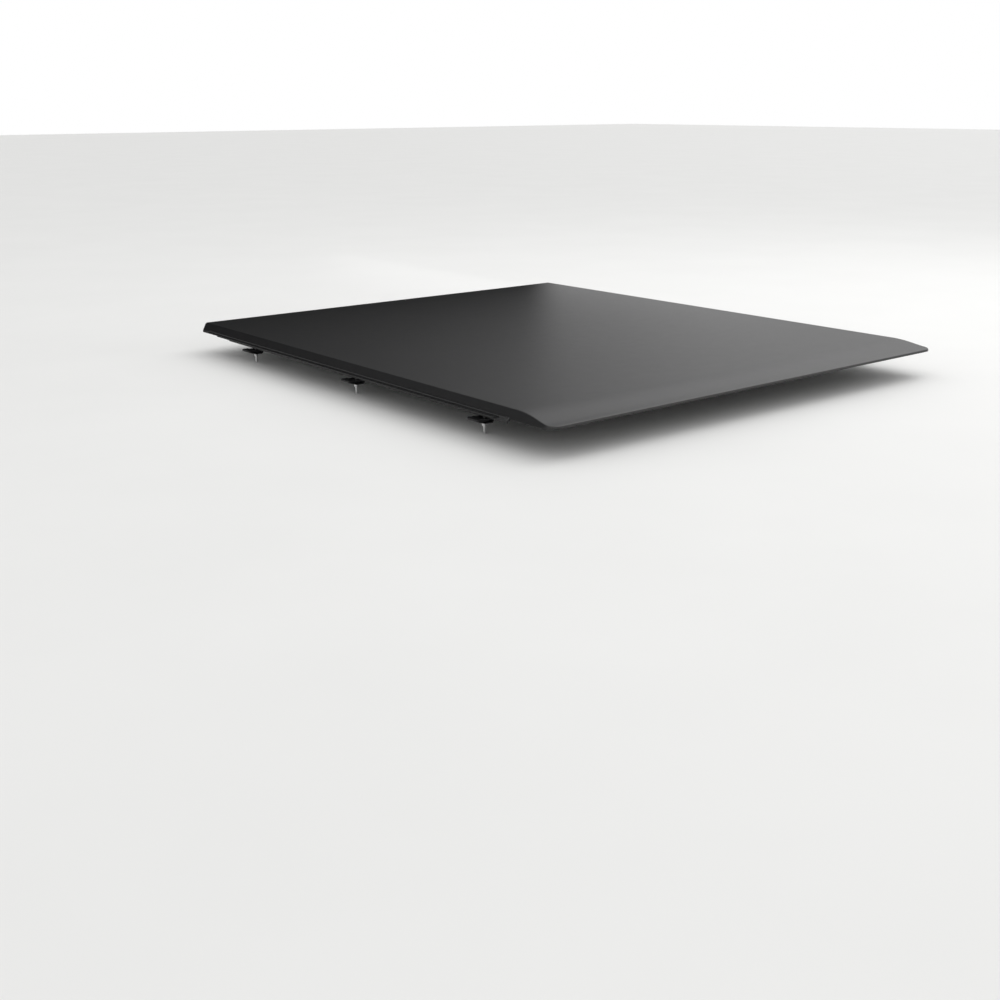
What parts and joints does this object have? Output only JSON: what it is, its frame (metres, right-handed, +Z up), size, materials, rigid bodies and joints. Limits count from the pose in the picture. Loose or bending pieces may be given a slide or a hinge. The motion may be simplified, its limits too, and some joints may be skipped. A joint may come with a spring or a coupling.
{
  "type": "tonneau cover",
  "caption": "Soft roll-up tonneau cover: flared vinyl sheet on clamped side rails and a header, with cross bows, a latched rear bar and a sloping rear lip.",
  "frame": {"origin": "on the ground below the middle of the cover, which stands on the tips of its clamp bolts", "axes": "+X to the right seen from behind, +Y forwards to the cab, +Z up"},
  "size_m": [1.457, 1.66, 0.095],
  "materials": {
    "vinyl": "satin grained vinyl",
    "powder_coat": "satin powder coat",
    "bow_aluminium": "mill finish",
    "moulded_plastic": "fine texture",
    "hook_tape": "woven hook tape",
    "rubber": "matte",
    "jaw_coat": "black cast",
    "zinc": "zinc plated"
  },
  "bodies": {
    "frame": {"cover_section_01": "vinyl", "header": "powder_coat", "header_seal": "rubber", "header_spline": "rubber", "corner_screws": "zinc", "clamp_bolts": "zinc", "side_rail_left": "powder_coat", "side_rail_right": "powder_coat", "rail_end_left": "moulded_plastic", "rail_end_right": "moulded_plastic", "rail_seal_left": "rubber", "rail_seal_right": "rubber", "hook_strip_left": "hook_tape", "hook_strip_right": "hook_tape", "header_corner_left": "powder_coat", "header_corner_right": "powder_coat"},
    "section_02": {"cover_section_02": "vinyl", "cross_bow_1": "bow_aluminium", "bow_caps_1": "moulded_plastic"},
    "section_03": {"cover_section_03": "vinyl"},
    "section_04": {"cover_section_04": "vinyl", "cross_bow_2": "bow_aluminium", "bow_caps_2": "moulded_plastic"},
    "section_05": {"cover_section_05": "vinyl"},
    "section_06": {"cover_section_06": "vinyl", "cross_bow_3": "bow_aluminium", "bow_caps_3": "moulded_plastic"},
    "section_07": {"cover_section_07": "vinyl"},
    "section_08": {"cover_section_08": "vinyl", "cross_bow_4": "bow_aluminium", "bow_caps_4": "moulded_plastic"},
    "section_09": {"cover_section_09": "vinyl"},
    "section_10": {"cover_section_10": "vinyl"},
    "section_11": {"cover_section_11": "vinyl", "hem_stops": "moulded_plastic"},
    "section_12": {"cover_section_12": "vinyl"},
    "section_13": {"cover_section_13": "vinyl", "rear_bar": "powder_coat", "rear_spline": "rubber", "tailgate_seal": "rubber", "rear_bar_end_left": "moulded_plastic", "rear_bar_end_right": "moulded_plastic"},
    "latch_left": {"latch_bolt_left": "zinc"},
    "latch_right": {"latch_bolt_right": "zinc"},
    "jaw_1": {"clamp_jaw_1": "jaw_coat"},
    "nut_1": {"clamp_nut_1": "zinc"},
    "jaw_2": {"clamp_jaw_2": "jaw_coat"},
    "nut_2": {"clamp_nut_2": "zinc"},
    "jaw_3": {"clamp_jaw_3": "jaw_coat"},
    "nut_3": {"clamp_nut_3": "zinc"},
    "jaw_4": {"clamp_jaw_4": "jaw_coat"},
    "nut_4": {"clamp_nut_4": "zinc"},
    "jaw_5": {"clamp_jaw_5": "jaw_coat"},
    "nut_5": {"clamp_nut_5": "zinc"},
    "jaw_6": {"clamp_jaw_6": "jaw_coat"},
    "nut_6": {"clamp_nut_6": "zinc"}
  },
  "joints": [
    {"name": "roll_up", "type": "hinge", "parent": "frame", "child": "section_02", "pos_m": [0, 0.55423, 0.095], "axis": [-1, 0, 0], "range_deg": [0, 90]},
    {"name": "fold_03", "type": "hinge", "parent": "section_02", "child": "section_03", "pos_m": [0, 0.38353, 0.095], "axis": [-1, 0, 0], "range_deg": [0, 90]},
    {"name": "fold_04", "type": "hinge", "parent": "section_03", "child": "section_04", "pos_m": [0, 0.22288, 0.095], "axis": [-1, 0, 0], "range_deg": [0, 90]},
    {"name": "fold_05", "type": "hinge", "parent": "section_04", "child": "section_05", "pos_m": [0, 0.07231, 0.095], "axis": [-1, 0, 0], "range_deg": [0, 90]},
    {"name": "fold_06", "type": "hinge", "parent": "section_05", "child": "section_06", "pos_m": [0, -0.06821, 0.095], "axis": [-1, 0, 0], "range_deg": [0, 90]},
    {"name": "fold_07", "type": "hinge", "parent": "section_06", "child": "section_07", "pos_m": [0, -0.19865, 0.095], "axis": [-1, 0, 0], "range_deg": [0, 90]},
    {"name": "fold_08", "type": "hinge", "parent": "section_07", "child": "section_08", "pos_m": [0, -0.31904, 0.095], "axis": [-1, 0, 0], "range_deg": [0, 90]},
    {"name": "fold_09", "type": "hinge", "parent": "section_08", "child": "section_09", "pos_m": [0, -0.42936, 0.095], "axis": [-1, 0, 0], "range_deg": [0, 90]},
    {"name": "fold_10", "type": "hinge", "parent": "section_09", "child": "section_10", "pos_m": [0, -0.52961, 0.095], "axis": [-1, 0, 0], "range_deg": [0, 90]},
    {"name": "fold_11", "type": "hinge", "parent": "section_10", "child": "section_11", "pos_m": [0, -0.61981, 0.095], "axis": [-1, 0, 0], "range_deg": [0, 90]},
    {"name": "fold_12", "type": "hinge", "parent": "section_11", "child": "section_12", "pos_m": [0, -0.69994, 0.095], "axis": [-1, 0, 0], "range_deg": [0, 90]},
    {"name": "fold_13", "type": "hinge", "parent": "section_12", "child": "section_13", "pos_m": [0, -0.77, 0.08804], "axis": [-1, 0, 0], "range_deg": [0, 90]},
    {"name": "latch_left_slide", "type": "slide", "parent": "section_13", "child": "latch_left", "axis": [-1, 0, 0], "range_m": [0, 0.014]},
    {"name": "latch_right_slide", "type": "slide", "parent": "section_13", "child": "latch_right", "axis": [1, 0, 0], "range_m": [0, 0.014]},
    {"name": "jaw_1_slide", "type": "slide", "parent": "frame", "child": "jaw_1", "axis": [0, 0, -1], "range_m": [0, 0.015]},
    {"name": "nut_1_turn", "type": "hinge", "parent": "jaw_1", "child": "nut_1", "pos_m": [-0.671, -0.53, 0.024], "axis": [0, 0, -1], "range_deg": [0, 4321]},
    {"name": "jaw_2_slide", "type": "slide", "parent": "frame", "child": "jaw_2", "axis": [0, 0, -1], "range_m": [0, 0.015]},
    {"name": "nut_2_turn", "type": "hinge", "parent": "jaw_2", "child": "nut_2", "pos_m": [-0.671, 0.03, 0.024], "axis": [0, 0, -1], "range_deg": [0, 4321]},
    {"name": "jaw_3_slide", "type": "slide", "parent": "frame", "child": "jaw_3", "axis": [0, 0, -1], "range_m": [0, 0.015]},
    {"name": "nut_3_turn", "type": "hinge", "parent": "jaw_3", "child": "nut_3", "pos_m": [-0.671, 0.59, 0.024], "axis": [0, 0, -1], "range_deg": [0, 4321]},
    {"name": "jaw_4_slide", "type": "slide", "parent": "frame", "child": "jaw_4", "axis": [0, 0, -1], "range_m": [0, 0.015]},
    {"name": "nut_4_turn", "type": "hinge", "parent": "jaw_4", "child": "nut_4", "pos_m": [0.671, -0.53, 0.024], "axis": [0, 0, -1], "range_deg": [0, 4321]},
    {"name": "jaw_5_slide", "type": "slide", "parent": "frame", "child": "jaw_5", "axis": [0, 0, -1], "range_m": [0, 0.015]},
    {"name": "nut_5_turn", "type": "hinge", "parent": "jaw_5", "child": "nut_5", "pos_m": [0.671, 0.03, 0.024], "axis": [0, 0, -1], "range_deg": [0, 4321]},
    {"name": "jaw_6_slide", "type": "slide", "parent": "frame", "child": "jaw_6", "axis": [0, 0, -1], "range_m": [0, 0.015]},
    {"name": "nut_6_turn", "type": "hinge", "parent": "jaw_6", "child": "nut_6", "pos_m": [0.671, 0.59, 0.024], "axis": [0, 0, -1], "range_deg": [0, 4321]}
  ],
  "couplings": [
    {"joint": "fold_03", "follows": "roll_up", "ratio": 1},
    {"joint": "fold_04", "follows": "roll_up", "ratio": 1},
    {"joint": "fold_05", "follows": "roll_up", "ratio": 1},
    {"joint": "fold_06", "follows": "roll_up", "ratio": 1},
    {"joint": "fold_07", "follows": "roll_up", "ratio": 1},
    {"joint": "fold_08", "follows": "roll_up", "ratio": 1},
    {"joint": "fold_09", "follows": "roll_up", "ratio": 1},
    {"joint": "fold_10", "follows": "roll_up", "ratio": 1},
    {"joint": "fold_11", "follows": "roll_up", "ratio": 1},
    {"joint": "fold_12", "follows": "roll_up", "ratio": 1},
    {"joint": "fold_13", "follows": "roll_up", "ratio": 1},
    {"joint": "nut_1_turn", "follows": "jaw_1_slide", "rad_per_m": 5026.5},
    {"joint": "nut_2_turn", "follows": "jaw_2_slide", "rad_per_m": 5026.5},
    {"joint": "nut_3_turn", "follows": "jaw_3_slide", "rad_per_m": 5026.5},
    {"joint": "nut_4_turn", "follows": "jaw_4_slide", "rad_per_m": 5026.5},
    {"joint": "nut_5_turn", "follows": "jaw_5_slide", "rad_per_m": 5026.5},
    {"joint": "nut_6_turn", "follows": "jaw_6_slide", "rad_per_m": 5026.5}
  ]
}
